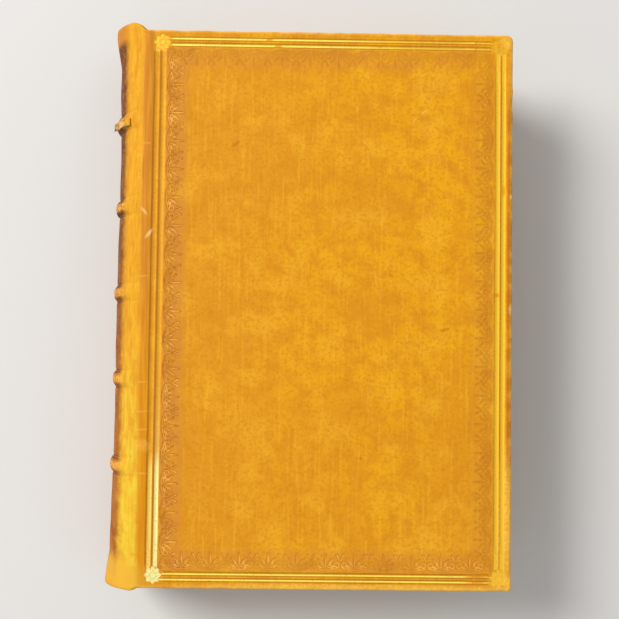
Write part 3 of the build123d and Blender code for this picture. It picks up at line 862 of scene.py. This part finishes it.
# twisted silk thread: a soft gleam under the dust, in two colours
for name, code in (("buff silk", "#d9bd84"), ("brown silk", "#7a3f22")):
    made, t, shader, place = start_material(name)
    tone = add(
        t, BLEND, add(t, RAMP, cloud(t, place, 3.0), 0.35, 0.7, 0.0, 0.5), rgb(code), rgb("#6a4a2c")
    )
    t.links.new(tone, shader.inputs["Base Color"])
    shader.inputs["Roughness"].default_value = 0.5
    silk.append(made)
core_lo, core_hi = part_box("head_endband_core")
BAND_ARC = SPINE_R - 0.0024
TURNS = 86
for end, side in (("head", 1), ("tail", -1)):
    bpy.ops.object.select_all(action="DESELECT")
    bpy.ops.mesh.primitive_torus_add(
        major_radius=0.00102, minor_radius=0.00027, major_segments=10, minor_segments=5
    )
    wound = bpy.context.object
    wound.name = end + "_silk"
    size = len(wound.data.vertices)
    sides = len(wound.data.polygons)
    turns = wound.modifiers.new("turns", "ARRAY")
    turns.count = TURNS
    bpy.ops.object.modifier_apply(modifier=turns.name)
    ring_shape = [v.co.copy() for v in wound.data.vertices[:size]]
    for i in range(TURNS):
        angle = math.radians(-51 + 102 * i / (TURNS - 1))
        out = Vector((-math.cos(angle), 0, math.sin(angle)))
        along = Vector((math.sin(angle), 0, math.cos(angle)))
        middle_point = Vector((AXIS_X, side * (core_lo.y + core_hi.y) / 2, MID)) + out * BAND_ARC
        for v, p in zip(wound.data.vertices[size * i : size * i + size], ring_shape):
            v.co = middle_point + out * p.x + Vector((0, side * p.y, 0)) + along * p.z
        for polygon in wound.data.polygons[sides * i : sides * i + sides]:
            polygon.material_index = i // 2 % 2
            polygon.use_smooth = True
    for made in silk:
        wound.data.materials.append(made)
    only(wound)
    bpy.ops.object.mode_set(mode="EDIT")
    bpy.ops.mesh.select_all(action="SELECT")
    bpy.ops.mesh.normals_make_consistent(inside=False)
    bpy.ops.object.mode_set(mode="OBJECT")
    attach(wound, "text_block")
    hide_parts(end + "_endband_silk")

# ---------------------------------------------------------------- boards, papers and cords
# Pasteboard boards, plain laid endpapers pasted over the turned-in calf, hemp cords whose frayed
# ends are laced into the boards, and paper linings between them. Mostly out of sight.
# laid rag paper: faint mould lines, brown where the turned-in calf has stained it, and foxed
endpaper, t, shader, place = start_material("laid endpaper")
laid = cloud(t, place, 1.0, 2.0, (1.6, 0.03, 1.0))
tone = add(t, BLEND, add(t, RAMP, laid, 0.3, 0.7), rgb("#dcc79d"), rgb("#e6d5b0"))
tone = add(
    t, BLEND, add(t, RAMP, cloud(t, place, 0.05, 5.0), 0.42, 0.7, 0.0, 0.6), tone, rgb("#c6a468")
)
tone = add(
    t, BLEND, add(t, RAMP, cloud(t, place, 0.35, 3.0), 0.66, 0.72, 0.0, 0.6), tone, rgb("#9a6a3a")
)
AX = add(t, SIZE_OF, add(t, MINUS, add(t, "ShaderNodeSeparateXYZ", place, output="X"), 5.5))
AY = add(t, SIZE_OF, add(t, "ShaderNodeSeparateXYZ", place, output="Y"))
offset = add(t, LARGER, add(t, RAMP, AX, 58, 66), add(t, RAMP, AY, 94, 101))
tone = add(t, BLEND, add(t, TIMES, offset, 0.6), tone, rgb("#9c6b35"))
t.links.new(tone, shader.inputs["Base Color"])
shader.inputs["Roughness"].default_value = 0.8
shader.inputs["Specular IOR Level"].default_value = 0.15
# pasteboard: sheets pasted together and pressed, grey-brown and quite matt
board, t, shader, place = start_material("grey-brown pasteboard")
tone = add(t, BLEND, cloud(t, place, 0.8, 4.0, (0.3, 0.3, 4)), rgb("#8f7a5c"), rgb("#b9a27d"))
t.links.new(tone, shader.inputs["Base Color"])
shader.inputs["Roughness"].default_value = 0.9
# hemp cord: coarse strands in light and shade
hemp, t, shader, place = start_material("hemp cord")
strands = add(t, "ShaderNodeTexWave", place, 0.5, 2.0)
tone = add(t, BLEND, strands, rgb("#9b7a4a"), rgb("#cfb27e"))
t.links.new(tone, shader.inputs["Base Color"])
relief = add(t, "ShaderNodeBump", named={"Height": strands, "Distance": 0.0002})
t.links.new(relief, shader.inputs["Normal"])
shader.inputs["Roughness"].default_value = 0.9
# waste paper glued down hot: brown and blotched
lining, t, shader, place = start_material("glued lining paper")
tone = add(t, BLEND, cloud(t, place, 0.3, 4.0), rgb("#a88857"), rgb("#cdb383"))
t.links.new(tone, shader.inputs["Base Color"])
shader.inputs["Roughness"].default_value = 0.85
for thing in bpy.data.objects:
    if thing.type != "MESH" or thing in (calf, under, leaves):
        continue
    for key_word, look in (
        ("board", board),
        ("pastedown", endpaper),
        ("flyleaf", endpaper),
        ("slip", hemp),
        ("cord", hemp),
        ("core", hemp),
        ("lining", lining),
    ):
        if key_word in thing.name and "silk" not in thing.name:
            thing.data.materials.clear()
            thing.data.materials.append(look)

# ---------------------------------------------------------------- stage
# The book lies on a wide pale sheet, seen from straight above, with one large soft lamp at the
# upper left and an even light from all round.
camera = bpy.data.objects.new("camera", bpy.data.cameras.new("camera"))
bpy.context.scene.collection.objects.link(camera)
camera.location = (-0.0030031, -0.0158266, 0.4280272)
camera.rotation_euler = (0.0394, -0.0103, 0.0127)
camera.data.angle = math.radians(36.01)
camera.data.clip_start = 0.01
bpy.context.scene.camera = camera
# the sheet is a hair under the book, so that an opened back cover doesn't lie in its plane
bpy.ops.mesh.primitive_plane_add(size=6, location=(0, 0, -0.0003))
floor = bpy.context.object
floor.name = "floor"
floor_look, t, floor_shader, place = start_material("pale matt sheet")
floor_shader.inputs["Base Color"].default_value = rgb("#dcdad6")
floor_shader.inputs["Roughness"].default_value = 0.9
floor_shader.inputs["Specular IOR Level"].default_value = 0.0
floor.data.materials.append(floor_look)
key = bpy.data.objects.new("key", bpy.data.lights.new("key", "AREA"))
key.data.energy = 62
key.data.size = 1.1
key.location = (-1.65, 1.0, 1.7)
key.rotation_euler = (Vector((0, 0, 0.02)) - key.location).to_track_quat("-Z", "Y").to_euler()
bpy.context.scene.collection.objects.link(key)
world = bpy.data.worlds.new("soft room")
world.use_nodes = True
world.node_tree.nodes["Background"].inputs["Color"].default_value = rgb("#f4f4f6")
world.node_tree.nodes["Background"].inputs["Strength"].default_value = 0.56
bpy.context.scene.world = world
bpy.context.scene.view_settings.view_transform = "Standard"
